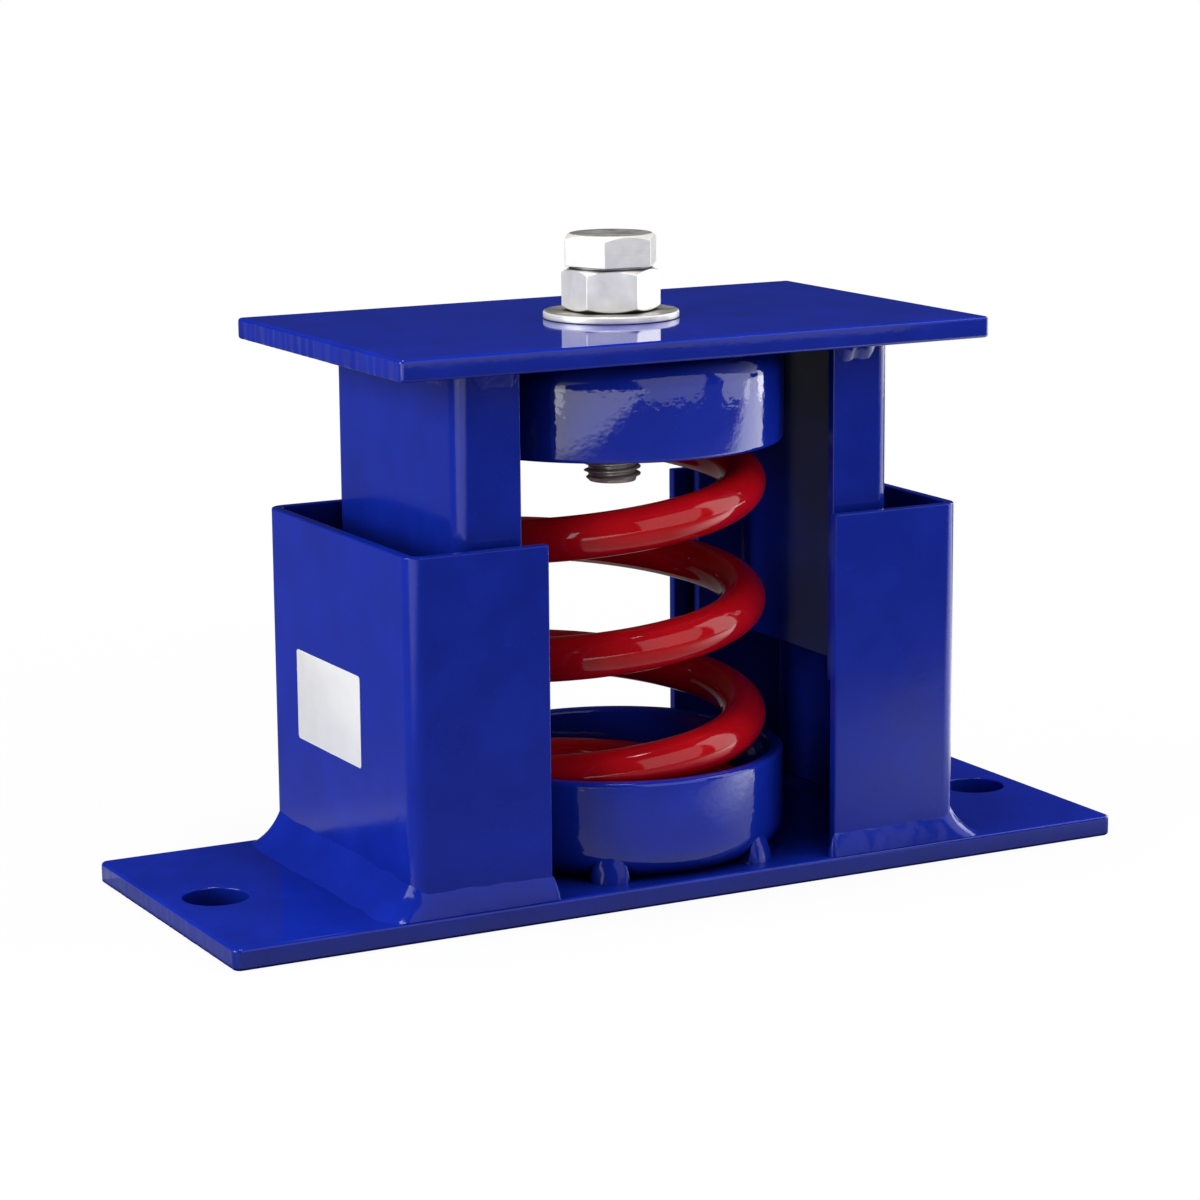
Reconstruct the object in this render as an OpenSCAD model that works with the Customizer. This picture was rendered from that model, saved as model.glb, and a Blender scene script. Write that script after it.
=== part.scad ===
// Housed spring vibration isolator: a top plate on a coil spring, guided by nested folded channels.
// Millimetres. Origin at the middle of the base plate's underside, +X along the feet, +Z up.

/* [Spring] */
// Wire diameter
wire_d = 12.5; // [8:0.5:14]
// Length of the unloaded spring between its ground ends
spring_free = 136; // [110:1:170]
// Turns from tip to tip, with both ground ends
spring_turns = 4.64; // [4:0.02:5.4]
// Turns at each end before the pitch grows
closed_turns = 0.3; // [0.1:0.05:0.6]
// Turns over which the pitch grows to that of the open coils
ramp_turns = 0.5; // [0.4:0.1:1]
// Pitch of the end turns beyond the wire's own diameter
closed_gap = 0.4; // [0.2:0.1:1]
// Direction of the lower tip, seen from above
tip_angle = 234; // [0:1:359]
// Radial gap between the coil and the rounding inside its cup
spring_play = 0.3; // [0.3:0.05:2]

/* [Spring cups] */
// Outside diameter of both cups
cup_d = 96; // [88:1:120]
// Height of both cups
cup_h = 28; // [20:1:34]
// Wall and floor thickness
cup_wall = 4; // [3:0.5:6]
// Inside radius where the floor turns into the wall
cup_inner_r = 0.5; // [0.3:0.1:3]
// Outside radius between the floor and the wall
cup_edge_r = 8; // [4.5:0.5:9]
// Rounding of the rim's two edges
cup_rim_r = 1.2; // [0.4:0.1:1.4]

/* [Folded channels] */
// Sheet thickness of all four channels
sheet_t = 3; // [2:0.5:5]
// Inside radius of the bends
bend_inner_r = 2; // [1:0.5:4]
// Flange length of the lower channels, web included
lower_flange = 41; // [30:1:50]
// Flange length of the upper channels, web included
upper_flange = 19; // [14:1:26]
// Gap from the cups' side to the upper webs
cup_gap = 16.5; // [8:0.5:30]
// Gap between the upper and lower webs
web_gap = 15; // [9:1:25]
// Gap between the upper and lower flanges
side_play = 5; // [4:0.5:9]
// Drop of the top plate until it meets the lower channels
stop_travel = 47; // [20:1:56]
// Gap left under the upper channels at that stop
foot_gap = 1; // [0.5:0.5:5]

/* [Base plate] */
// Thickness
base_t = 6; // [4:0.5:12]
// Margin of the plate's long edges beside the cup
cup_margin = 2; // [1:0.5:10]
// Ledge from the lower flanges to the plate's long edges
base_ledge = 2.5; // [2:0.5:5]
// Length of each foot beyond the lower webs
foot_l = 52.5; // [44:0.5:80]
// Diameter of the bolt hole in each foot
foot_hole_d = 18; // [10:0.5:22]
// Distance from the hole's centre to the plate's end
hole_margin = 15; // [13:0.5:20]
// Corner radius in plan
base_corner_r = 3; // [1.5:0.5:8]

/* [Top plate] */
// Thickness
top_t = 6; // [4:0.5:12]
// Overhang beyond the lower webs
top_end_overhang = 4.5; // [1:0.5:30]
// Overhang beyond the lower flanges
top_side_overhang = 7; // [1:0.5:30]
// Corner radius in plan
top_corner_r = 4; // [1.5:0.5:10]
// Rounding of the long edges of both plates
plate_edge_r = 1; // [0.5:0.1:1.8]

/* [Welds] */
// Leg of the fillet on the lower webs
foot_weld_leg = 9; // [5:0.5:12]
// Height of the fillet on the lower flanges
flange_weld_h = 6.5; // [4:0.5:9]
// Leg of the beads under the top plate, along the upper webs
web_bead_leg = 5; // [3:0.5:7]
// Height of the beads under the top plate, on the upper flanges
flange_bead_h = 5.5; // [3:0.5:7]
// Hollowness of the fillets, as a share of their shorter leg
weld_hollow = 0.16; // [0.05:0.01:0.25]
// Reach of the tack welds beyond the lower cup
tack_leg = 3; // [1.5:0.5:4]
// Height of the tack welds on the lower cup
tack_h = 7; // [6:0.5:10]
// Length of a tack weld along the cup
tack_l = 14; // [6:1:20]

/* [Bolt, nut and washer] */
// Thread diameter
thread_d = 16; // [12:1:20]
// Width across flats of head and nut
across_flats = 24; // [21:1:32]
// Height of the bolt head
head_h = 9.5; // [7:0.5:13]
// Height of the nut
nut_h = 12; // [9:0.5:17]
// Length of the bolt under its head
bolt_l = 60; // [45:1:80]
// Washer outside diameter
washer_d = 38; // [32:1:50]
// Washer thickness
washer_t = 2; // [1.5:0.5:4]
// Direction of a corner of the bolt head, seen from above
head_angle = 55; // [0:1:59]
// Direction of a corner of the nut, seen from above
nut_angle = 33; // [0:1:59]

/* [Hidden] */

// Colours
paint_blue = "#1f2b93";
paint_red = "#a3141c";
zinc = "#d2d4d6";

// Fineness of round forms
fine = 96;
small = 48;

// Named clearances
thread_play = 0.1;
bolt_hole_play = 1;
washer_play = 0.75;
weld_inset = 0.3;
bead_clear = 1;
cut = 1;

// Plan, from the cup outwards
cup_r = cup_d / 2;
bend_r = bend_inner_r + sheet_t;
upper_web_x = cup_r + cup_gap + sheet_t;
lower_web_x = upper_web_x + web_gap + sheet_t;
base_l = 2 * (lower_web_x + foot_l);
base_w = cup_d + 2 * cup_margin;
lower_w = base_w - 2 * base_ledge;
upper_w = lower_w - 2 * (sheet_t + side_play);
top_l = 2 * (lower_web_x + top_end_overhang);
top_w = lower_w + 2 * top_side_overhang;
hole_x = base_l / 2 - hole_margin;

// Heights, from the floor up
lower_seat_z = base_t + cup_wall;
upper_seat_z = lower_seat_z + spring_free;
top_z = upper_seat_z + cup_wall;
lower_top_z = top_z - stop_travel;
upper_foot_z = base_t + stop_travel + foot_gap;
washer_z = top_z + top_t;
nut_z = washer_z + washer_t;
head_z = nut_z + nut_h;

// Tack welds, two on each side of the lower cup
tack_angles = [-120, -60, 60, 120];
tack_sweep = tack_l / cup_r * 180 / PI;

// Hexagons with their corners turned off at 30 degrees
chamfer_angle = 30;
face_inset = 0.6;
hex_r = across_flats / 2 / cos(30);
hex_face_r = across_flats / 2 - face_inset;
hex_drop = (hex_r - hex_face_r) * tan(chamfer_angle);
// How far the turning cone runs past the hexagon's corners
cone_past = 1;
bolt_tip = 1.5;

// Spring centreline: low ground ends, a ramp of growing pitch, and an even pitch in the middle
coil_r = cup_r - cup_wall - cup_inner_r - spring_play - wire_d / 2;
closed_pitch = wire_d + closed_gap;
tip_share = 0.15;
tip_lift = tip_share * wire_d;
half_turns = spring_turns / 2;
half_rise = spring_free / 2 - tip_lift;
open_pitch = (half_rise - closed_pitch * (closed_turns + ramp_turns / 2))
    / (half_turns - closed_turns - ramp_turns / 2);
ramp_end = closed_turns + ramp_turns;
ramp_gain = (open_pitch - closed_pitch) / (2 * ramp_turns);
wire_sides = 16;
rings_per_turn = 36;
ring_count = ceil(spring_turns * rings_per_turn);

// Rise of the centreline from a tip to u turns along it
function end_rise(u) =
    u <= closed_turns ? closed_pitch * u
    : u <= ramp_end ? closed_pitch * u + ramp_gain * (u - closed_turns) ^ 2
    : closed_pitch * ramp_end + ramp_gain * ramp_turns ^ 2 + open_pitch * (u - ramp_end);

// Height of the centreline at u turns from the lower tip
function coil_z(u) =
    u <= half_turns ? lower_seat_z + tip_lift + end_rise(u)
    : upper_seat_z - tip_lift - end_rise(spring_turns - u);

// Pitch of the centreline at u turns from the lower tip
function coil_pitch(u, step = 0.01) = (coil_z(u + step) - coil_z(u - step)) / (2 * step);

// A point of the wire's surface, at angle a round the wire, ground flat at both seats
function wire_point(u, a) =
    let (turn = tip_angle + 360 * u)
    let (lead = atan2(coil_pitch(u), 2 * PI * coil_r))
    let (out = coil_r + wire_d / 2 * cos(a))
    let (up = wire_d / 2 * sin(a))
    let (z = coil_z(u) + up * cos(lead))
    [
        out * cos(turn) + up * sin(lead) * sin(turn),
        out * sin(turn) - up * sin(lead) * cos(turn),
        max(lower_seat_z, min(upper_seat_z, z))
    ];

// Rectangle about the origin with four rounded corners
module rounded_rect(l, w, r) {
    square([l - 2 * r, w], center = true);
    square([l, w - 2 * r], center = true);
    for (x = [-1, 1], y = [-1, 1])
        translate([x * (l / 2 - r), y * (w / 2 - r)])
            circle(r, $fn = small);
}

// Rectangle from x = -l to x = 0 with its two corners at x = 0 rounded
module web_outline(l, w, r) {
    translate([-l, -w / 2])
        square([l - r, w]);
    translate([-l, r - w / 2])
        square([l, w - 2 * r]);
    for (y = [-1, 1])
        translate([-r, y * (w / 2 - r)])
            circle(r, $fn = small);
}

// Section of a folded channel with the outside of its web at x = 0
module channel_section(flange, w) {
    difference() {
        web_outline(flange, w, bend_r);
        translate([-sheet_t, 0])
            web_outline(flange, w - 2 * sheet_t, bend_inner_r);
    }
}

// Hollow fillet between a wall at x = 0 and a plate at y = 0
module fillet_section(a, b) {
    chord = norm([a, b]);
    sag = weld_hollow * min(a, b);
    r = chord ^ 2 / (8 * sag) + sag / 2;
    difference() {
        polygon([[0, 0], [a, 0], [0, b]]);
        translate([a, b] / 2 + (r - sag) * [b, a] / chord)
            circle(r, $fn = fine);
    }
}

// Half section of a disc or block with its lower outside corner rounded
module round_foot(r_out, h, r) {
    square([r_out - r, h]);
    translate([0, r])
        square([r_out, h - r]);
    translate([r_out - r, r])
        circle(r, $fn = small);
}

// Half section of a cup that stands on its floor
module cup_section() {
    wall_x = cup_r - cup_wall;
    foot_h = 2 * cup_edge_r;
    difference() {
        round_foot(cup_r, foot_h, cup_edge_r);
        translate([0, cup_wall])
            round_foot(wall_x, foot_h, cup_inner_r);
    }
    translate([wall_x, cup_edge_r])
        square([cup_wall, cup_h - cup_rim_r - cup_edge_r]);
    translate([wall_x + cup_rim_r, cup_edge_r])
        square([cup_wall - 2 * cup_rim_r, cup_h - cup_edge_r]);
    for (x = [wall_x + cup_rim_r, cup_r - cup_rim_r])
        translate([x, cup_h - cup_rim_r])
            circle(cup_rim_r, $fn = small);
}

// Section of a tack weld in the notch under the cup's rounded edge
module tack_section() {
    difference() {
        polygon([
            [cup_r - cup_edge_r, 0], [cup_r + tack_leg, 0],
            [cup_r, tack_h], [cup_r - cup_edge_r, tack_h]
        ]);
        round_foot(cup_r, cup_edge_r + tack_h, cup_edge_r);
    }
}

// Flat plate with plan corners and rounded edges
module plate(l, w, t, corner_r) {
    intersection() {
        linear_extrude(t)
            rounded_rect(l, w, corner_r);
        translate([0, 0, t / 2])
            rotate([90, 0, 0])
                linear_extrude(w + 2 * cut, center = true)
                    rounded_rect(l, t, plate_edge_r);
        translate([0, 0, t / 2])
            rotate([90, 0, 90])
                linear_extrude(l + 2 * cut, center = true)
                    rounded_rect(w, t, plate_edge_r);
    }
}

// Straight run of fillet along y on a web
module web_run(leg, l) {
    rotate([90, 0, 0])
        linear_extrude(l, center = true)
            fillet_section(leg, leg);
}

// Straight run of fillet along x on a flange that faces +y
module flange_run(a, b, l) {
    rotate([90, 0, 90])
        linear_extrude(l)
            fillet_section(a, b);
}

// Hexagon with turned-off corners, standing on z = 0
module hexagon(h, angle, lower_drop) {
    past_r = hex_r + cone_past;
    past_drop = hex_drop + cone_past * tan(chamfer_angle);
    lower_r = lower_drop > 0 ? hex_face_r : past_r;
    lower_past = lower_drop > 0 ? past_drop : 0;
    intersection() {
        rotate(angle)
            linear_extrude(h)
                circle(hex_r, $fn = 6);
        rotate_extrude($fn = fine)
            polygon([
                [0, 0], [lower_r, 0], [past_r, lower_past],
                [past_r, h - past_drop], [hex_face_r, h], [0, h]
            ]);
    }
}

// Right-hand piece as drawn, or its mirror image on the left
module on_side(side) {
    mirror([side < 0 ? 1 : 0, 0, 0])
        children();
}

module base_plate() {
    color(paint_blue)
        difference() {
            plate(base_l, base_w, base_t, base_corner_r);
            for (x = [-hole_x, hole_x])
                translate([x, 0, -cut])
                    cylinder(h = base_t + 2 * cut, d = foot_hole_d, $fn = fine);
        }
}

module lower_channel(side) {
    color(paint_blue)
        on_side(side)
            translate([lower_web_x, 0, base_t])
                linear_extrude(lower_top_z - base_t)
                    channel_section(lower_flange, lower_w);
}

module upper_channel(side) {
    color(paint_blue)
        on_side(side)
            translate([upper_web_x, 0, upper_foot_z])
                linear_extrude(top_z - upper_foot_z)
                    channel_section(upper_flange, upper_w);
}

module lower_spring_cup() {
    color(paint_blue)
        translate([0, 0, base_t])
            rotate_extrude($fn = fine)
                cup_section();
}

module upper_spring_cup() {
    color(paint_blue)
        translate([0, 0, top_z])
            mirror([0, 0, 1])
                difference() {
                    rotate_extrude($fn = fine)
                        cup_section();
                    translate([0, 0, -cut])
                        cylinder(h = cup_wall + 2 * cut, d = thread_d + 2 * bolt_hole_play, $fn = fine);
                }
}

// Fillet round the outside of a lower channel, cut off just inside the plate's long edges
module foot_weld(side) {
    flange_leg = base_ledge - weld_inset;
    weld_w = base_w - 2 * weld_inset;
    straight_w = lower_w - 2 * bend_r;
    color(paint_blue)
        on_side(side)
            translate([lower_web_x, 0, base_t]) {
                intersection() {
                    union() {
                        web_run(foot_weld_leg, straight_w);
                        for (y = [0, 1])
                            mirror([0, y, 0])
                                translate([-bend_r, straight_w / 2, 0])
                                    rotate_extrude(angle = 90, $fn = fine)
                                        translate([bend_r, 0])
                                            fillet_section(foot_weld_leg, foot_weld_leg);
                    }
                    translate([-lower_flange, -weld_w / 2, -cut])
                        cube([lower_flange + foot_weld_leg + cut, weld_w, foot_weld_leg + 2 * cut]);
                }
                for (y = [0, 1])
                    mirror([0, y, 0])
                        translate([-lower_flange, lower_w / 2, 0]) {
                            flange_run(flange_leg, flange_weld_h, lower_flange - bend_r);
                            rotate(90)
                                rotate_extrude(angle = 90, $fn = fine)
                                    fillet_section(flange_leg, flange_weld_h);
                        }
            }
}

module lower_cup_tacks() {
    color(paint_blue)
        for (angle = tack_angles)
            translate([0, 0, base_t])
                rotate(angle - tack_sweep / 2)
                    rotate_extrude(angle = tack_sweep, $fn = fine)
                        tack_section();
}

module coil_spring() {
    points = [
        for (i = [0:ring_count], j = [0:wire_sides - 1])
            wire_point(spring_turns * i / ring_count, 360 * j / wire_sides)
    ];
    last = ring_count * wire_sides;
    sides = [
        for (i = [0:ring_count - 1], j = [0:wire_sides - 1], half = [0, 1])
            let (a = i * wire_sides + j)
            let (b = i * wire_sides + (j + 1) % wire_sides)
            half == 0 ? [a, b, b + wire_sides] : [a, b + wire_sides, a + wire_sides]
    ];
    lower_tip = [for (j = [wire_sides - 1:-1:0]) j];
    upper_tip = [for (j = [0:wire_sides - 1]) last + j];
    color(paint_red)
        polyhedron(points, concat(sides, [lower_tip, upper_tip]), convexity = 12);
}

module top_plate() {
    color(paint_blue)
        translate([0, 0, top_z])
            difference() {
                plate(top_l, top_w, top_t, top_corner_r);
                translate([0, 0, -cut])
                    cylinder(h = top_t + 2 * cut, d = thread_d + 2 * thread_play, $fn = fine);
            }
}

module web_bead(side) {
    color(paint_blue)
        on_side(side)
            translate([upper_web_x, 0, top_z])
                mirror([0, 0, 1])
                    web_run(web_bead_leg, upper_w - 2 * bend_r);
}

module flange_beads(side) {
    color(paint_blue)
        on_side(side)
            for (y = [0, 1])
                mirror([0, y, 0])
                    translate([upper_web_x - upper_flange, upper_w / 2, top_z])
                        mirror([0, 0, 1])
                            flange_run(side_play - bead_clear, flange_bead_h, upper_flange - bend_r);
}

module hex_bolt() {
    color(zinc)
        translate([0, 0, head_z]) {
            hexagon(head_h, head_angle, 0);
            translate([0, 0, -bolt_l])
                rotate_extrude($fn = fine)
                    polygon([
                        [0, 0], [thread_d / 2 - bolt_tip, 0], [thread_d / 2, bolt_tip],
                        [thread_d / 2, bolt_l + cut], [0, bolt_l + cut]
                    ]);
        }
}

module lock_nut() {
    color(zinc)
        translate([0, 0, nut_z])
            difference() {
                hexagon(nut_h, nut_angle, hex_drop);
                translate([0, 0, -cut])
                    cylinder(h = nut_h + 2 * cut, d = thread_d + 2 * thread_play, $fn = fine);
            }
}

module flat_washer() {
    color(zinc)
        translate([0, 0, washer_z])
            difference() {
                cylinder(h = washer_t, d = washer_d, $fn = fine);
                translate([0, 0, -cut])
                    cylinder(h = washer_t + 2 * cut, d = thread_d + 2 * washer_play, $fn = fine);
            }
}

base_plate();
lower_channel(-1);  // left_lower_channel
lower_channel(1);  // right_lower_channel
lower_spring_cup();
foot_weld(-1);  // left_foot_weld
foot_weld(1);  // right_foot_weld
lower_cup_tacks();
coil_spring();
top_plate();
upper_channel(-1);  // left_upper_channel
upper_channel(1);  // right_upper_channel
upper_spring_cup();
web_bead(-1);  // left_web_bead
web_bead(1);  // right_web_bead
flange_beads(-1);  // left_flange_beads
flange_beads(1);  // right_flange_beads
hex_bolt();
lock_nut();
flat_washer();
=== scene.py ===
"""Looks of the spring vibration isolator, laid out as a Blender add-on and run as a script."""

import math

import bmesh
import bpy
from mathutils import Matrix, Vector, noise


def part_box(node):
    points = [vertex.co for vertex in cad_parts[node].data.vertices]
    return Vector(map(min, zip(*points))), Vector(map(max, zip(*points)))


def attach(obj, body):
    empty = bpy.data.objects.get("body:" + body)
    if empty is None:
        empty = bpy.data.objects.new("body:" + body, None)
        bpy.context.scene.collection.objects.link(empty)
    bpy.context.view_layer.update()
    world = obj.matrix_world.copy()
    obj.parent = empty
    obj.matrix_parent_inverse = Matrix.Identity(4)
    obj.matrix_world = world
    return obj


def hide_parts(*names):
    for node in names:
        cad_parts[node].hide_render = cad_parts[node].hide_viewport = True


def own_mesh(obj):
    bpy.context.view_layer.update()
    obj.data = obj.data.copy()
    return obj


bl_info = {
    "name": "Spring vibration isolator",
    "version": (1, 0, 0),
    "blender": (4, 5, 0),
    "location": "View3D > Sidebar > Isolator",
    "description": "Builds the painted isolator, its zinc plated fixings and a plain studio",
    "category": "Object",
}

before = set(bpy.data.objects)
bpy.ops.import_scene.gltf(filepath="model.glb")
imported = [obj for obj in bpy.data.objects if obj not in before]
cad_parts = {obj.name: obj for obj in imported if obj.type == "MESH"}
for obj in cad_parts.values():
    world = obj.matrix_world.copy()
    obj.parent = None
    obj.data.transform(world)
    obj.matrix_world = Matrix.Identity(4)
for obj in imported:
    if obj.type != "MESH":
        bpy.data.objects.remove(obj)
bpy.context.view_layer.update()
MM = 0.001
Z_AXIS = Vector((0, 0, 1))
FLAT_ANGLE = math.radians(35)
SIDES = {"left": -1, "right": 1}
FINISHES = {
    "blue_paint": "sprayed_blue_enamel", "red_paint": "dipped_red_enamel", "zinc_plate": "bright_zinc",
    "label": "white_vinyl", "cup": "flooded_blue_enamel_painted_lighter", "plate": "levelled_blue_enamel"}
BASE_CORNER = 2.4 * MM
TOP_CORNER = 1.4 * MM
FOOT_HOLE_R = 9 * MM
FOOT_HOLE_INSET = 15 * MM
TAPPED_HOLE_R = 8.1 * MM
CUP_BORE_R = 9 * MM
WASHER_BORE_R = 8.75 * MM
TACK_ANGLES = (60, 120, 240, 300)
HEAD_ANGLE = math.radians(55)
NUT_ANGLE = math.radians(33)
LABEL_Y = 6.5 * MM
LABEL_Z = 52.8 * MM
CUT_TOLERANCE = 1e-7
FLOOR_RADIUS = 6.0
# Lamps: name, azimuth and elevation in degrees, distance, width and height in metres, power in watts
LAMPS = (
    ("key_left", 178, 20, 1.2, 0.8, 0.7, 10.8),
    ("strip_left", 207, 6, 1.1, 0.16, 0.9, 1.4),
    ("panel_right", 332, 22, 1.0, 0.5, 1.2, 4.2),
    ("side_right", 8, 14, 1.0, 0.5, 0.7, 4.6),
    ("panel_front", 283, 24, 1.0, 0.85, 1.0, 2.9),
    ("overhead", 215, 84, 0.62, 0.24, 0.2, 2.1))


def linear(code):
    """Linear colour of an sRGB hex code."""
    channels = [int(code[i:i + 2], 16) / 255 for i in (1, 3, 5)]
    return [c / 12.92 if c <= 0.04045 else ((c + 0.055) / 1.055) ** 2.4 for c in channels]


class IsolatorSizes(bpy.types.PropertyGroup):
    """Sizes that the frame leaves open"""
    wire: bpy.props.FloatProperty(
        name="Spring wire", description="Diameter of the spring's wire", default=12.5 * MM, unit="LENGTH")
    turns: bpy.props.FloatProperty(
        name="Turns", description="Turns of the spring from tip to tip", default=4.64)
    end_turns: bpy.props.FloatProperty(
        name="End turns", description="Turns at each end before the pitch grows", default=0.3)
    ramp: bpy.props.FloatProperty(
        name="Ramp", description="Turns over which the pitch grows to that of the open coils", default=0.5)
    end_gap: bpy.props.FloatProperty(
        name="End gap", description="Pitch of the end turns beyond the wire's own diameter",
        default=0.4 * MM, unit="LENGTH")
    tip_lift: bpy.props.FloatProperty(
        name="Tip lift", description="Height of the wire's middle over its seat at the tip",
        default=1.875 * MM, unit="LENGTH")
    tip_angle: bpy.props.FloatProperty(
        name="Tip angle", description="Where the lower tip of the spring points",
        default=math.radians(234), subtype="ANGLE")
    sheet: bpy.props.FloatProperty(
        name="Sheet", description="Thickness of the folded channels", default=3 * MM, unit="LENGTH")
    bend: bpy.props.FloatProperty(
        name="Bend radius", description="Outside radius of a fold", default=5 * MM, unit="LENGTH")
    sheet_edge: bpy.props.FloatProperty(
        name="Sheet edge", description="Rounding that the paint leaves on a cut sheet edge",
        default=0.45 * MM, unit="LENGTH")
    plate_edge: bpy.props.FloatProperty(
        name="Plate edge", description="Rounding of the plates' edges", default=1 * MM, unit="LENGTH")
    shear: bpy.props.FloatProperty(
        name="Shear marks", description="Depth of the marks on the sheared plate ends",
        default=0.8 * MM, unit="LENGTH")
    cup_wall: bpy.props.FloatProperty(
        name="Cup wall", description="Wall and floor of the spring cups", default=4 * MM, unit="LENGTH")
    cup_foot: bpy.props.FloatProperty(
        name="Cup foot", description="Outside rounding at the cup's floor", default=8 * MM, unit="LENGTH")
    cup_rim: bpy.props.FloatProperty(
        name="Cup rim", description="Rounding of the cup's rim", default=1.2 * MM, unit="LENGTH")
    weld_ripple: bpy.props.FloatProperty(
        name="Weld ripple", description="Unevenness of the weld beads", default=0.35 * MM, unit="LENGTH")
    thread: bpy.props.FloatProperty(
        name="Thread", description="Outside diameter of the bolt's thread", default=16 * MM, unit="LENGTH")
    thread_pitch: bpy.props.FloatProperty(
        name="Thread pitch", description="Rise of the thread in one turn", default=2 * MM, unit="LENGTH")
    flats: bpy.props.FloatProperty(
        name="Across flats", description="Width of the hexagons", default=24 * MM, unit="LENGTH")
    label_width: bpy.props.FloatProperty(
        name="Label width", description="Width of the blank label", default=42.5 * MM, unit="LENGTH")
    label_height: bpy.props.FloatProperty(
        name="Label height", description="Height of the blank label", default=25.5 * MM, unit="LENGTH")


class IsolatorColours(bpy.types.PropertyGroup):
    """Colours of the finishes"""
    blue: bpy.props.FloatVectorProperty(
        name="Blue enamel", description="Sprayed enamel on the steel", subtype="COLOR",
        default=linear("#132ba6"), min=0, max=1)
    red: bpy.props.FloatVectorProperty(
        name="Red enamel", description="Dipped enamel on the spring", subtype="COLOR",
        default=linear("#cb0f1c"), min=0, max=1)
    zinc: bpy.props.FloatVectorProperty(
        name="Zinc", description="Bright zinc plating", subtype="COLOR",
        default=linear("#f8f6ee"), min=0, max=1)
    label: bpy.props.FloatVectorProperty(
        name="Label", description="Blank vinyl label", subtype="COLOR",
        default=linear("#fbfbfb"), min=0, max=1)
    floor: bpy.props.FloatVectorProperty(
        name="Floor", description="Pale studio floor", subtype="COLOR",
        default=linear("#f4f4f5"), min=0, max=1)


def add_node(tree, kind, inputs=None, **settings):
    """One node with its settings; an input is a value or the socket that feeds it."""
    made = tree.nodes.new(kind)
    for name, value in settings.items():
        setattr(made, name, value)
    for name, value in (inputs or {}).items():
        if isinstance(value, bpy.types.NodeSocket):
            tree.links.new(value, made.inputs[name])
        else:
            made.inputs[name].default_value = value
    return made


def new_material(name):
    """Empty node material with its output node."""
    material = bpy.data.materials.new(name)
    material.use_nodes = True
    tree = material.node_tree
    tree.nodes.clear()
    return material, tree, tree.nodes.new("ShaderNodeOutputMaterial")


def rgba(colour, gain=1.0):
    """Colour with full alpha, made lighter or darker by gain."""
    return [min(channel * gain, 1.0) for channel in colour[:3]] + [1.0]


def enamel(name, colour, peel_size, peel_depth, wave_depth, shine, gloss, painted_shade_reach=40 * MM):
    """Gloss enamel on steel: an even wet film with orange peel, faint clouds, nibs of dust, and painted shade
    that darkens the nooks.
    """
    material, tree, output = new_material(name)
    place = add_node(tree, "ShaderNodeTexCoord").outputs["Object"]
    peel = add_node(tree, "ShaderNodeTexNoise", {"Vector": place, "Scale": 1 / peel_size, "Detail": 1.5})
    wave = add_node(tree, "ShaderNodeTexNoise", {
        "Vector": place, "Scale": 1 / (12 * peel_size), "Detail": 1.0})
    cloud = add_node(tree, "ShaderNodeTexNoise", {"Vector": place, "Scale": 1 / (15 * MM), "Detail": 4.0})
    # Nibs of dust are drawn coarser than real ones, so that they show
    dust = add_node(tree, "ShaderNodeTexNoise", {"Vector": place, "Scale": 1 / (0.8 * MM), "Detail": 2.0})
    thick = add_node(tree, "ShaderNodeMapRange", {
        "Value": cloud.outputs["Fac"], "From Min": 0.3, "From Max": 0.7})
    film = add_node(tree, "ShaderNodeMix", {
        0: thick.outputs["Result"], 6: rgba(colour, 0.88), 7: rgba(colour, 1.1)}, data_type="RGBA")
    nib = add_node(tree, "ShaderNodeMapRange", {
        "Value": dust.outputs["Fac"], "From Min": 0.67, "From Max": 0.74, "To Min": 0.0, "To Max": 0.4})
    speck = add_node(tree, "ShaderNodeMix", {
        0: nib.outputs["Result"], 6: film.outputs[2], 7: rgba(colour, 1.8)}, data_type="RGBA")
    # Painted shade: ambient occlusion darkens the colour to a deep tone of itself in nooks, corners and under
    # parts
    painted_shade_ao = add_node(tree, "ShaderNodeAmbientOcclusion", {"Distance": painted_shade_reach}, samples=6)
    painted_shade_mask = add_node(tree, "ShaderNodeMapRange", {
        "Value": painted_shade_ao.outputs["AO"], "From Min": 0.12, "From Max": 0.72})
    painted_shade_colour = add_node(tree, "ShaderNodeMix", {
        0: painted_shade_mask.outputs["Result"], 6: rgba(colour, 0.12), 7: speck.outputs[2]}, data_type="RGBA")
    rough = add_node(tree, "ShaderNodeMapRange", {
        "Value": cloud.outputs["Fac"], "From Min": 0.3, "From Max": 0.7,
        "To Min": shine, "To Max": shine * 1.6})
    swell = add_node(tree, "ShaderNodeBump", {
        "Height": wave.outputs["Fac"], "Strength": 1.0, "Distance": wave_depth})
    skin = add_node(tree, "ShaderNodeBump", {
        "Height": peel.outputs["Fac"], "Strength": 1.0, "Distance": peel_depth,
        "Normal": swell.outputs["Normal"]})
    shader = add_node(tree, "ShaderNodeBsdfPrincipled", {
        "Base Color": painted_shade_colour.outputs[2], "Roughness": rough.outputs["Result"],
        "Specular IOR Level": gloss, "Normal": skin.outputs["Normal"]})
    tree.links.new(shader.outputs["BSDF"], output.inputs["Surface"])
    return material


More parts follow.
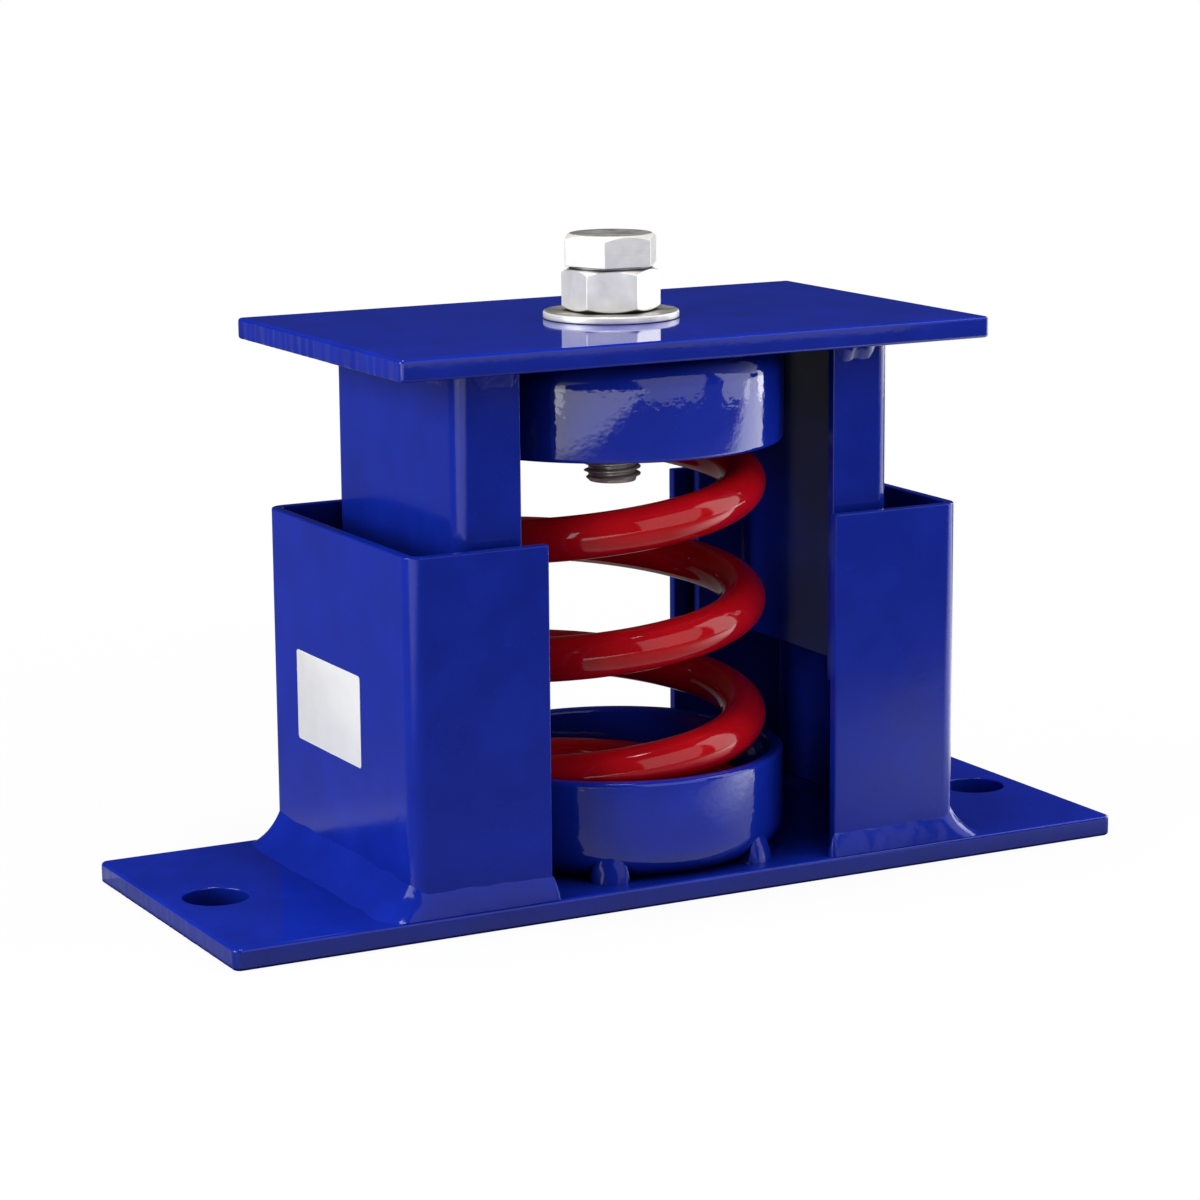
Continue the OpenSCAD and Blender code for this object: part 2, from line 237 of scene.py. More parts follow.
def zinc_plating(name, colour):
    """Bright zinc on turned and forged steel: a pale soft sheen, clouds, scratches, and painted shade in
    mottled patches on the upward faces and in the seams.
    """
    material, tree, output = new_material(name)
    place = add_node(tree, "ShaderNodeTexCoord").outputs["Object"]
    cloud = add_node(tree, "ShaderNodeTexNoise", {"Vector": place, "Scale": 1 / (4 * MM), "Detail": 5.0})
    # The plating's grain is drawn coarser than real, so that it shows
    grain = add_node(tree, "ShaderNodeTexNoise", {"Vector": place, "Scale": 1 / (0.5 * MM), "Detail": 3.0})
    stretch = add_node(tree, "ShaderNodeMapping", {"Vector": place, "Scale": (1.0, 1.0, 14.0)})
    marks = add_node(tree, "ShaderNodeTexNoise", {
        "Vector": stretch.outputs["Vector"], "Scale": 1 / (5 * MM), "Detail": 3.0})
    tint = add_node(tree, "ShaderNodeMapRange", {
        "Value": cloud.outputs["Fac"], "From Min": 0.3, "From Max": 0.7})
    skin = add_node(tree, "ShaderNodeMix", {
        0: tint.outputs["Result"], 6: rgba(colour, 0.9), 7: rgba(colour, 1.03)}, data_type="RGBA")
    # Painted shade: faces that look upward are darkened, in mottled patches
    surface = add_node(tree, "ShaderNodeNewGeometry").outputs
    facing = add_node(tree, "ShaderNodeSeparateXYZ", {0: surface["Normal"]})
    top_shade_stretch = add_node(tree, "ShaderNodeMapping", {"Vector": place, "Scale": (0.6, 1.3, 1.0)})
    top_shade_mottle = add_node(tree, "ShaderNodeTexNoise", {
        "Vector": top_shade_stretch.outputs["Vector"], "Scale": 1 / (3.5 * MM), "Detail": 7.0, "Roughness": 0.62})
    upward = add_node(tree, "ShaderNodeMapRange", {
        "Value": facing.outputs["Z"], "From Min": 0.9, "From Max": 0.97})
    patch = add_node(tree, "ShaderNodeMapRange", {
        "Value": top_shade_mottle.outputs["Fac"], "From Min": 0.38, "From Max": 0.66,
        "To Min": 0.92, "To Max": 0.5})
    grime_and_top_shade = add_node(tree, "ShaderNodeMath", {
        0: upward.outputs["Result"], 1: patch.outputs["Result"]}, operation="MULTIPLY")
    painted_top_shaded = add_node(tree, "ShaderNodeMix", {
        0: grime_and_top_shade.outputs["Value"], 6: skin.outputs[2], 7: rgba(colour, 0.16)}, data_type="RGBA")
    # Painted shade: ambient occlusion darkens the seams and crevices between head, nut, washer and plate
    seam = add_node(tree, "ShaderNodeAmbientOcclusion", {"Distance": 1.6 * MM}, samples=8)
    seam_shade_mask = add_node(tree, "ShaderNodeMapRange", {
        "Value": seam.outputs["AO"], "From Min": 0.35, "From Max": 0.85})
    painted_seam_shade = add_node(tree, "ShaderNodeMix", {
        0: seam_shade_mask.outputs["Result"], 6: rgba(colour, 0.05), 7: painted_top_shaded.outputs[2]}, data_type="RGBA")
    rough = add_node(tree, "ShaderNodeMapRange", {
        "Value": cloud.outputs["Fac"], "From Min": 0.3, "From Max": 0.7, "To Min": 0.42, "To Max": 0.3})
    line = add_node(tree, "ShaderNodeBump", {
        "Height": marks.outputs["Fac"], "Strength": 0.5, "Distance": 0.06 * MM})
    fine = add_node(tree, "ShaderNodeBump", {
        "Height": grain.outputs["Fac"], "Strength": 0.4, "Distance": 0.02 * MM,
        "Normal": line.outputs["Normal"]})
    shader = add_node(tree, "ShaderNodeBsdfPrincipled", {
        "Base Color": painted_seam_shade.outputs[2], "Metallic": 0.3, "Roughness": rough.outputs["Result"],
        "Normal": fine.outputs["Normal"]})
    tree.links.new(shader.outputs["BSDF"], output.inputs["Surface"])
    return material


def vinyl(name, colour):
    """White vinyl film: smooth, half gloss, with a trace of grime and lifted air under it."""
    material, tree, output = new_material(name)
    place = add_node(tree, "ShaderNodeTexCoord").outputs["Object"]
    grime_and_top_shade = add_node(tree, "ShaderNodeTexNoise", {"Vector": place, "Scale": 1 / (9 * MM), "Detail": 5.0})
    lift = add_node(tree, "ShaderNodeTexNoise", {"Vector": place, "Scale": 1 / (6 * MM), "Detail": 1.0})
    shade = add_node(tree, "ShaderNodeMix", {
        0: grime_and_top_shade.outputs["Fac"], 6: rgba(colour, 0.9), 7: rgba(colour, 1.04)}, data_type="RGBA")
    rough = add_node(tree, "ShaderNodeMapRange", {
        "Value": grime_and_top_shade.outputs["Fac"], "From Min": 0.3, "From Max": 0.7, "To Min": 0.32, "To Max": 0.45})
    bump = add_node(tree, "ShaderNodeBump", {
        "Height": lift.outputs["Fac"], "Strength": 0.6, "Distance": 0.05 * MM})
    shader = add_node(tree, "ShaderNodeBsdfPrincipled", {
        "Base Color": shade.outputs[2], "Roughness": rough.outputs["Result"],
        "Normal": bump.outputs["Normal"]})
    tree.links.new(shader.outputs["BSDF"], output.inputs["Surface"])
    return material


def finish_of(slot):
    """Finish of a record slot, made once."""
    colours = bpy.context.scene.isolator_colours
    name = FINISHES[slot]
    ready = bpy.data.materials.get(name)
    if ready:
        return ready
    if slot == "blue_paint":
        return enamel(name, colours.blue, 1.5 * MM, 0.02 * MM, 0.12 * MM, 0.11, 0.22)
    if slot == "plate":
        return enamel(name, colours.blue, 1.5 * MM, 0.008 * MM, 0.03 * MM, 0.05, 0.34)
    if slot == "cup":
        # Painted light: the cups get a lighter copy of the same blue, which brightens them
        return enamel(name, rgba(colours.blue, 1.25), 1.9 * MM, 0.05 * MM, 0.12 * MM, 0.05, 0.55)
    if slot == "red_paint":
        return enamel(name, colours.red, 2.4 * MM, 0.012 * MM, 0.1 * MM, 0.06, 0.42, 12 * MM)
    if slot == "zinc_plate":
        return zinc_plating(name, colours.zinc)
    return vinyl(name, colours.label)


def add_piece(bm, name, body, slot, nodes, even=False, finish=None):
    """Turns the mesh into a named piece on its body; even flattens the shading of its flat faces."""
    bmesh.ops.recalc_face_normals(bm, faces=bm.faces[:])
    if bm.calc_volume(signed=True) < 0:
        bmesh.ops.reverse_faces(bm, faces=bm.faces[:])
    mesh = bpy.data.meshes.new(name)
    bm.to_mesh(mesh)
    bm.free()
    mesh.polygons.foreach_set("use_smooth", [True] * len(mesh.polygons))
    mesh.set_sharp_from_angle(angle=FLAT_ANGLE)
    mesh.materials.append(finish_of(finish or slot))
    piece = bpy.data.objects.new(name, mesh)
    bpy.context.scene.collection.objects.link(piece)
    if even:
        shading = piece.modifiers.new("even_shading", "WEIGHTED_NORMAL")
        shading.keep_sharp = True
    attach(piece, body)
    if nodes:
        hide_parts(*nodes)
    return piece


def round_corners(bm, verts, radius, segments):
    """Rounds plan corners or the corners of a profile."""
    bmesh.ops.bevel(
        bm, geom=verts, offset=radius, offset_type="OFFSET", segments=segments, profile=0.5,
        affect="VERTICES", clamp_overlap=True, material=-1)


def round_edges(bm, edges, radius, segments, clamp=True):
    """Rounds edges of a solid; clamp is off where a cap's short edges would hold the radius back."""
    bmesh.ops.bevel(
        bm, geom=edges, offset=radius, offset_type="OFFSET", segments=segments, profile=0.5,
        affect="EDGES", clamp_overlap=clamp, material=-1)


def verts_of(made):
    """Vertices among what an operator made."""
    return [v for v in made if isinstance(v, bmesh.types.BMVert)]


def edges_of(made):
    """Edges among what an operator made."""
    return [e for e in made if isinstance(e, bmesh.types.BMEdge)]


def raise_faces(bm, height):
    """Makes a solid of the flat faces."""
    grown = bmesh.ops.extrude_face_region(bm, geom=bm.faces[:])["geom"]
    bmesh.ops.translate(bm, vec=(0, 0, height), verts=verts_of(grown))
    bmesh.ops.recalc_face_normals(bm, faces=bm.faces[:])


def sharp_edges(bm, angle=60):
    """Edges of a solid that turn by more than angle degrees."""
    return [e for e in bm.edges if e.calc_face_angle(0) > math.radians(angle)]


def cut_square(bm, low, high):
    """Cuts the mesh level at two heights and closes the cuts."""
    for height, up in ((low, 1), (high, -1)):
        bmesh.ops.bisect_plane(
            bm, geom=bm.verts[:] + bm.edges[:] + bm.faces[:], dist=CUT_TOLERANCE,
            plane_co=(0, 0, height), plane_no=(0, 0, up), clear_inner=True)
        bmesh.ops.holes_fill(bm, edges=[e for e in bm.edges if e.is_boundary], sides=0)


def plate(node, corner, edge, shear, holes, seed):
    """Flat bar cut to length: rounded plan corners, drilled holes, sheared and painted ends."""
    low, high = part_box(node)
    size = high - low
    middle = (low + high) / 2
    half = size.x / 2
    bm = bmesh.new()
    bmesh.ops.create_grid(
        bm, x_segments=1, y_segments=1, size=0.5, matrix=Matrix.Diagonal((size.x, size.y, 1, 1)))
    round_corners(bm, bm.verts[:], corner, 6)
    bmesh.ops.delete(bm, geom=bm.faces[:], context="FACES_ONLY")
    for x, radius in holes:
        bmesh.ops.create_circle(
            bm, segments=64, radius=radius, matrix=Matrix.Translation((x - middle.x, 0, 0)))
    bmesh.ops.triangle_fill(bm, use_beauty=True, use_dissolve=False, edges=bm.edges[:])
    raise_faces(bm, size.z)
    rims = [e for e in sharp_edges(bm) if any(
        (e.verts[0].co.xy - Vector((x - middle.x, 0))).length < 1.01 * radius for x, radius in holes)]
    round_edges(bm, rims, 0.5 * edge, 3, clamp=False)
    round_edges(bm, sharp_edges(bm), edge, 4, clamp=False)
    reach = size.y / 2 - corner - edge
    cuts = 108
    for step in range(cuts + 1):
        ends = [f for f in bm.faces if all(abs(v.co.x) > half - 1.02 * edge for v in f.verts)]
        parts = {v for f in ends for v in f.verts} | {e for f in ends for e in f.edges} | set(ends)
        bmesh.ops.bisect_plane(
            bm, geom=list(parts), dist=CUT_TOLERANCE, plane_co=(0, reach * (2 * step / cuts - 1), 0),
            plane_no=(0, 1, 0))
    bmesh.ops.translate(bm, vec=(middle.x, middle.y, low.z), verts=bm.verts[:])
    for v in bm.verts:
        inner = half - abs(v.co.x - middle.x)
        if inner < 0.98 * edge and abs(v.co.y - middle.y) < reach:
            tear = (high.z - v.co.z) / size.z
            streak = noise.noise((v.co.y / (1.7 * MM), seed, 0.35 * tear))
            broad = noise.noise((v.co.y / (7 * MM), seed + 5, 0.8 * tear))
            depth = shear * max(0.0, 0.5 + 1.1 * streak * tear + 0.4 * broad)
            depth = min(depth, 0.9 * edge) * (1 - inner / edge)
            v.co.x -= math.copysign(depth, v.co.x - middle.x)
    return bm


class ISOLATOR_OT_base_plate(bpy.types.Operator):
    """Base plate with its two foot holes"""
    bl_idname = "isolator.base_plate"
    bl_label = "Base plate"

    def execute(self, context):
        sizes = context.scene.isolator_sizes
        hole_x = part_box("base_plate")[1].x - FOOT_HOLE_INSET
        holes = [(side * hole_x, FOOT_HOLE_R) for side in SIDES.values()]
        bm = plate("base_plate", BASE_CORNER, sizes.plate_edge, sizes.shear * 0.2, holes, 1)
        add_piece(bm, "base_plate_painted", "base", "blue_paint", ["base_plate"], even=True, finish="plate")
        return {"FINISHED"}


class ISOLATOR_OT_top_plate(bpy.types.Operator):
    """Top plate with its tapped hole"""
    bl_idname = "isolator.top_plate"
    bl_label = "Top plate"

    def execute(self, context):
        sizes = context.scene.isolator_sizes
        bm = plate("top_plate", TOP_CORNER, sizes.plate_edge, sizes.shear, [(0.0, TAPPED_HOLE_R)], 2)
        add_piece(bm, "top_plate_painted", "top", "blue_paint", ["top_plate"], even=True, finish="plate")
        return {"FINISHED"}


def folded_channel(node, side, sheet, bend, edge):
    """Folded sheet: a rounded frame in plan, cut open towards the spring and raised."""
    low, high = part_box(node)
    web, mouth = (low.x, high.x) if side < 0 else (high.x, low.x)
    spare = -side * 4 * bend
    length = abs(mouth + spare - web)
    bm = bmesh.new()
    bmesh.ops.create_grid(
        bm, x_segments=1, y_segments=1, size=0.5,
        matrix=Matrix.Translation(((web + mouth + spare) / 2, 0, low.z))
        @ Matrix.Diagonal((length, high.y - low.y, 1, 1)))
    round_corners(bm, bm.verts[:], bend, 10)
    bmesh.ops.inset_region(bm, faces=bm.faces[:], thickness=sheet, use_even_offset=True, use_boundary=True)
    inner = max(bm.faces, key=lambda face: face.calc_area())
    bmesh.ops.delete(bm, geom=[inner], context="FACES_ONLY")
    bmesh.ops.bisect_plane(
        bm, geom=bm.verts[:] + bm.edges[:] + bm.faces[:], dist=CUT_TOLERANCE, plane_co=(mouth, 0, low.z),
        plane_no=(-side, 0, 0), clear_outer=True)
    raise_faces(bm, high.z - low.z)
    round_edges(bm, sharp_edges(bm), edge, 3)
    return bm


class ISOLATOR_OT_channels(bpy.types.Operator):
    """Lower and upper folded channels"""
    bl_idname = "isolator.channels"
    bl_label = "Folded channels"

    def execute(self, context):
        sizes = context.scene.isolator_sizes
        for level, body in (("lower", "base"), ("upper", "top")):
            for word, side in SIDES.items():
                node = f"{word}_{level}_channel"
                bm = folded_channel(node, side, sizes.sheet, sizes.bend, sizes.sheet_edge)
                add_piece(bm, f"{node}_painted", body, "blue_paint", [node], even=True)
        return {"FINISHED"}


def spun_profile(corners, radii, steps):
    """Turned shape: a profile of (radius, height) corners with rounded corners, spun about the axis."""
    bm = bmesh.new()
    verts = [bm.verts.new((r, 0, z)) for r, z in corners]
    closed = zip(verts, verts[1:] + verts[:1]) if corners[0][0] > 0 else zip(verts, verts[1:])
    for pair in closed:
        bm.edges.new(pair)
    for vert, radius in zip(verts, radii):
        if radius > 0:
            round_corners(bm, [vert], radius, 8 if radius > 2 * MM else 5)
    bmesh.ops.spin(
        bm, geom=bm.verts[:] + bm.edges[:], cent=(0, 0, 0), axis=(0, 0, 1), dvec=(0, 0, 0),
        angle=2 * math.pi, steps=steps, use_merge=True)
    bmesh.ops.remove_doubles(bm, verts=bm.verts[:], dist=1e-7)
    return bm


class ISOLATOR_OT_spring_cups(bpy.types.Operator):
    """Pressed cups that seat the spring"""
    bl_idname = "isolator.spring_cups"
    bl_label = "Spring cups"

    def execute(self, context):
        sizes = context.scene.isolator_sizes
        wall = sizes.cup_wall
        inner_r = 0.5 * MM
        for node, body, bore in (("lower_spring_cup", "base", 0.0), ("upper_spring_cup", "top", CUP_BORE_R)):
            low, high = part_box(node)
            radius = high.x
            foot, rim, up = (low.z, high.z, 1) if body == "base" else (high.z, low.z, -1)
            corners = [
                (bore, foot), (radius, foot), (radius, rim), (radius - wall, rim),
                (radius - wall, foot + up * wall), (bore, foot + up * wall)]
            bm = spun_profile(corners, [0, sizes.cup_foot, sizes.cup_rim, sizes.cup_rim, inner_r, 0], 128)
            add_piece(bm, f"{node}_painted", body, "blue_paint", [node], finish="cup")
        return {"FINISHED"}


def coil_heights(sizes, low, high, step_count):
    """Height of the wire's middle at each step along the coil."""
    closed = sizes.wire + sizes.end_gap
    middle = sizes.turns / 2
    level = sizes.end_turns + sizes.ramp
    gain = 0.5 * sizes.ramp
    rise = (high - low) / 2 - sizes.tip_lift
    opened = (rise - closed * (level - gain)) / (gain + middle - level)

    def end_rise(turn):
        ramped = min(max(turn - sizes.end_turns, 0), sizes.ramp)
        bend = (opened - closed) / (2 * sizes.ramp) * ramped ** 2
        return closed * min(turn, level) + bend + opened * max(turn - level, 0)

    heights = []
    for step in range(step_count + 1):
        turn = sizes.turns * step / step_count
        if turn <= middle:
            heights.append(low + sizes.tip_lift + end_rise(turn))
        else:
            heights.append(high - sizes.tip_lift - end_rise(sizes.turns - turn))
    return heights


class ISOLATOR_OT_coil_spring(bpy.types.Operator):
    """Coil spring with low, ground ends"""
    bl_idname = "isolator.coil_spring"
    bl_label = "Coil spring"

    def execute(self, context):
        sizes = context.scene.isolator_sizes
        low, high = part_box("coil_spring")
        coil = high.x - sizes.wire / 2
        count = 420
        heights = coil_heights(sizes, low.z, high.z, count)
        bm = bmesh.new()
        bmesh.ops.create_circle(
            bm, segments=28, radius=sizes.wire / 2,
            matrix=Matrix.Rotation(sizes.tip_angle, 4, "Z") @ Matrix.Translation((coil, 0, heights[0]))
            @ Matrix.Rotation(math.pi / 2, 4, "X"))
        ring = bm.edges[:]
        bmesh.ops.edgeloop_fill(bm, edges=ring)
        for before, after in zip(heights, heights[1:]):
            made = bmesh.ops.spin(
                bm, geom=ring, cent=(0, 0, 0), axis=(0, 0, 1), dvec=(0, 0, after - before),
                angle=2 * math.pi * sizes.turns / count, steps=1)["geom_last"]
            ring = edges_of(made)
        bmesh.ops.edgeloop_fill(bm, edges=ring)
        cut_square(bm, low.z, high.z)
        piece = add_piece(bm, "coil_spring_painted", "base", "red_paint", ["coil_spring"])
        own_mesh(piece)
        return {"FINISHED"}


def bead_section(station, rows, ripple, seed):
    """Ring of points round a bead: its hidden corner, then its face, full if steep and hollow if even."""
    foot, out, up, leg, rise, along = station[:6]
    heel = station[6] if len(station) > 6 else foot
    ring = [heel.copy()]
    sink = min(max((leg / rise - 0.35) / 0.5, 0.0), 1.0) * 0.7 - 0.34
    for row in range(rows + 1):
        share = row / rows
        hollow = sink * share * (1 - share)
        across = leg * max(1 - share - hollow, 0)
        above = rise * max(share - hollow, 0)
        spot = foot + out * across + up * above
        rough = noise.noise((along / (3.2 * MM), share * 1.6, seed))
        fine = noise.noise((along / (1.1 * MM), share * 3, seed + 9))
        lift = ripple * (0.8 * rough + 0.25 * fine) * math.sin(math.pi * (0.12 + 0.76 * share))
        span = max(min(leg, rise) / (2 * MM), 0.0)
        ring.append(spot + (out + up).normalized() * lift * min(span, 1.0))
    return ring


def swept_bead(bm, stations, rows, ripple, seed):
    """Weld bead through its stations, closed at both ends."""
    first = [bm.verts.new(spot) for spot in bead_section(stations[0], rows, ripple, seed)]
    ring = [bm.edges.new(pair) for pair in zip(first, first[1:] + first[:1])]
    bmesh.ops.edgeloop_fill(bm, edges=ring)
    verts = first
    for station in stations[1:]:
        spots = bead_section(station, rows, ripple, seed)
        made = bmesh.ops.extrude_edge_only(bm, edges=ring)["geom"]
        fresh = verts_of(made)
        placed = []
        for old in verts:
            twin = next(e.other_vert(old) for e in old.link_edges if e.other_vert(old) in fresh)
            placed.append(twin)
        for vert, spot in zip(placed, spots):
            vert.co = spot
        ring = [bm.edges.get(pair) for pair in zip(placed, placed[1:] + placed[:1])]
        verts = placed
    bmesh.ops.edgeloop_fill(bm, edges=ring)


def foot_path(sizes, side):
    """Stations of the weld round a lower channel, from one flange end to the other."""
    low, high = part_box("left_lower_channel" if side < 0 else "right_lower_channel")
    web, mouth = (low.x, high.x) if side < 0 else (high.x, low.x)
    half = high.y
    floor = low.z
    bend = sizes.bend
    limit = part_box("base_plate")[1].y - 0.35 * MM
    flange_leg = 2.2 * MM
    flange_rise = 6.5 * MM
    web_leg = 9 * MM
    marks = []
    for step in range(9):
        turn = math.pi / 2 * step / 8
        out = Vector((-side * math.cos(turn), -math.sin(turn), 0))
        marks.append((Vector((mouth, -half, floor)), out, 0.0))
    count = 26
    for step in range(1, count):
        x = mouth + (web - side * bend - mouth) * step / count
        marks.append((Vector((x, -half, floor)), Vector((0, -1, 0)), 0.0))
    for step in range(13):
        turn = math.pi / 2 * step / 12
        out = Vector((side * math.sin(turn), -math.cos(turn), 0))
        middle = Vector((web - side * bend, -half + bend, floor))
        marks.append((middle + out * bend, out, step / 12))
    count = 30
    straight = half - bend
    for step in range(1, count + 1):
        marks.append((Vector((web, -straight * (1 - step / count), floor)), Vector((side, 0, 0)), 1.0))
    mirrored = [
        (Vector((p.x, -p.y, p.z)), Vector((n.x, -n.y, 0)), share) for p, n, share in marks[-2::-1]]
    stations = []
    along = 0.0
    previous = marks[0][0]
    for place, out, share in marks + mirrored:
        along += (place - previous).length + 0.3 * MM
        previous = place
        grown = share * share * (3 - 2 * share)
        swell = 1 + 0.1 * noise.noise((along / (9 * MM), side * 3.1, 0.5))
        leg = (flange_leg + (web_leg - flange_leg) * grown) * swell
        if abs(out.y) > 0.02:
            leg = min(leg, (limit - abs(place.y)) / abs(out.y))
        rise = (flange_rise + (web_leg - flange_rise) * grown) * (2 - swell)
        stations.append((place, out, Z_AXIS, leg, rise, along))
    return stations


class ISOLATOR_OT_foot_welds(bpy.types.Operator):
    """Fillet welds round the lower channels"""
    bl_idname = "isolator.foot_welds"
    bl_label = "Foot welds"

    def execute(self, context):
        sizes = context.scene.isolator_sizes
        for word, side in SIDES.items():
            bm = bmesh.new()
            swept_bead(bm, foot_path(sizes, side), 12, sizes.weld_ripple * 0.4, 3.0 + side)
            add_piece(bm, f"{word}_foot_weld_painted", "base", "blue_paint", [f"{word}_foot_weld"])
        return {"FINISHED"}


class ISOLATOR_OT_cup_tacks(bpy.types.Operator):
    """Short tack welds that hold the lower cup"""
    bl_idname = "isolator.cup_tacks"
    bl_label = "Cup tacks"

    def execute(self, context):
        sizes = context.scene.isolator_sizes
        low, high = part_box("lower_spring_cup")
        radius = high.x
        width, length = 13, 14 * MM
        leg, height, depth = 2.4 * MM, 7.5 * MM, 4.5 * MM
        bm = bmesh.new()
        for index, angle in enumerate(TACK_ANGLES):
            stations = []
            count = 18
            for step in range(count + 1):
                share = step / count
                turn = math.radians(angle + width * (share - 0.5))
                body = max(math.sin(math.pi * share), 0.0) ** 0.5
                out = Vector((math.cos(turn), math.sin(turn), 0))
                heel = out * (radius - depth) + Z_AXIS * low.z
                foot = out * (radius - 0.4 * MM) + Z_AXIS * low.z
                rise = height * (0.25 + 0.75 * body)
                stations.append((foot, out, Z_AXIS, leg * body, rise, share * length, heel))
            swept_bead(bm, stations, 10, sizes.weld_ripple, 20.0 + index)
        add_piece(bm, "lower_cup_tacks_painted", "base", "blue_paint", ["lower_cup_tacks"])
        return {"FINISHED"}


def run_of_bead(start, end, out, leg, rise, seed):
    """Stations of a straight bead under the top plate, tapering at both ends."""
    run = end - start
    count = max(int(run.length / (0.9 * MM)), 12)
    stations = []
    for step in range(count + 1):
        share = step / count
        along = run.length * share
        tip = min(along, run.length - along) / (3 * MM)
        body = 0.3 + 0.7 * math.sin(math.pi / 2 * min(tip, 1.0))
        swell = body * (1 + 0.16 * noise.noise((along / (4 * MM), seed, 0.2)))
        reach = leg * min(swell, 1.05)
        stations.append((start + run * share, out, -Z_AXIS, reach, rise * swell, along))
    return stations


class ISOLATOR_OT_top_beads(bpy.types.Operator):
    """Weld beads between the upper channels and the top plate"""
    bl_idname = "isolator.top_beads"
    bl_label = "Top beads"

    def execute(self, context):
        sizes = context.scene.isolator_sizes
        for word, side in SIDES.items():
            low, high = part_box(f"{word}_upper_channel")
            web, mouth = (low.x, high.x) if side < 0 else (high.x, low.x)
            reach = high.y - sizes.bend
            bm = bmesh.new()
            stations = run_of_bead(
                Vector((web, -reach, high.z)), Vector((web, reach, high.z)), Vector((side, 0, 0)),
                4.8 * MM, 4.8 * MM, 31.0 + side)
            swept_bead(bm, stations, 8, sizes.weld_ripple, 33.0 + side)
            add_piece(bm, f"{word}_web_bead_painted", "top", "blue_paint", [f"{word}_web_bead"])
            bm = bmesh.new()
            for face in (-1, 1):
                start = Vector((web - side * sizes.bend, face * high.y, high.z))
                end = Vector((mouth, face * high.y, high.z))
                stations = run_of_bead(
                    start, end, Vector((0, face, 0)), 3.8 * MM, 5.3 * MM, 41.0 + side + 3 * face)
                swept_bead(bm, stations, 8, sizes.weld_ripple * 2.2, 43.0 + side + 3 * face)
            add_piece(bm, f"{word}_flange_beads_painted", "top", "blue_paint", [f"{word}_flange_beads"])
        return {"FINISHED"}


def hexagon(bm, flats, low, high, angle, chamfer_low):
    """Hexagon with corners turned off at 30 degrees on top, and below too where asked."""
    corner_r = flats / 2 / math.cos(math.pi / 6)
    face_r = flats / 2 - 0.6 * MM
    slope = math.tan(math.pi / 6)
    bmesh.ops.create_circle(
        bm, segments=6, radius=corner_r,
        matrix=Matrix.Translation((0, 0, low)) @ Matrix.Rotation(angle - math.pi / 2, 4, "Z"))
    bmesh.ops.subdivide_edges(bm, edges=bm.edges[:], cuts=15)
    verts = bm.verts[:]
    ring = bm.edges[:]
    upper = bmesh.ops.extrude_edge_only(bm, edges=ring)["geom"]
    top_verts = verts_of(upper)
    top_ring = [e for e in edges_of(upper) if all(v in top_verts for v in e.verts)]
    for v in top_verts:
        v.co.z = high - max(v.co.xy.length - face_r, 0) * slope
    if chamfer_low:
        for v in verts:
            v.co.z = low + max(v.co.xy.length - face_r, 0) * slope
    for loop, height in ((top_ring, high), (ring, low)):
        rim = bmesh.ops.extrude_edge_only(bm, edges=loop)["geom"]
        rim_verts = verts_of(rim)
        rim_ring = [e for e in edges_of(rim) if all(v in rim_verts for v in e.verts)]
        for v in rim_verts:
            shrink = face_r / v.co.xy.length
            v.co = Vector((v.co.x * shrink, v.co.y * shrink, height))
        bmesh.ops.edgeloop_fill(bm, edges=rim_ring)
    bmesh.ops.recalc_face_normals(bm, faces=bm.faces[:])
    round_edges(bm, sharp_edges(bm, 20), 0.22 * MM, 2)


class ISOLATOR_OT_hex_bolt(bpy.types.Operator):
    """Levelling bolt: forged head, washer face and a rolled thread to its tip"""
    bl_idname = "isolator.hex_bolt"
    bl_label = "Levelling bolt"

    def execute(self, context):
        sizes = context.scene.isolator_sizes
        low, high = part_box("hex_bolt")
        nut_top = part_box("lock_nut")[1].z
        face = 0.7 * MM
        disc_r = 11.2 * MM
        disc_top = nut_top + 2 * face
        head = bmesh.new()
        hexagon(head, sizes.flats, nut_top + face, high.z, HEAD_ANGLE, False)
        disc = spun_profile(
            [(0, nut_top), (disc_r, nut_top), (disc_r, disc_top), (0, disc_top)], [0, 0.2 * MM, 0, 0], 64)
        shank = thread_mesh(sizes, low.z, nut_top + face)
        for extra in (disc, shank):
            bmesh.ops.recalc_face_normals(extra, faces=extra.faces[:])
            mesh = bpy.data.meshes.new("bolt_share")
            extra.to_mesh(mesh)
            extra.free()
            head.from_mesh(mesh)
            bpy.data.meshes.remove(mesh)
        add_piece(head, "hex_bolt_plated", "levelling_bolt", "zinc_plate", ["hex_bolt"], even=True)
        return {"FINISHED"}


def thread_mesh(sizes, low, high):
    """Rolled thread: a zigzag flank line spun with a rise of one pitch, cut square at both ends."""
    pitch = sizes.thread_pitch
    crest = sizes.thread / 2
    root = crest - 0.61 * pitch
    bm = bmesh.new()
    count = int((high - low) / pitch) + 3
    verts = []
    for turn in range(count):
        base = low - 1.5 * pitch + turn * pitch
        for share, r in ((0.0, root), (0.2, root), (0.46, crest), (0.58, crest), (0.86, root)):
            verts.append(bm.verts.new((r, 0, base + share * pitch)))
    for pair in zip(verts, verts[1:]):
        bm.edges.new(pair)
    bmesh.ops.spin(
        bm, geom=bm.verts[:] + bm.edges[:], cent=(0, 0, 0), axis=(0, 0, 1), dvec=(0, 0, pitch / 48),
        angle=2 * math.pi, steps=48)
    bmesh.ops.remove_doubles(bm, verts=bm.verts[:], dist=0.01 * MM)
    cut_square(bm, low, high)
    tip = 1.5 * MM
    for v in bm.verts:
        bound = crest - tip + (v.co.z - low)
        if v.co.xy.length > bound:
            shrink = bound / v.co.xy.length
            v.co = Vector((v.co.x * shrink, v.co.y * shrink, v.co.z))
    return bm


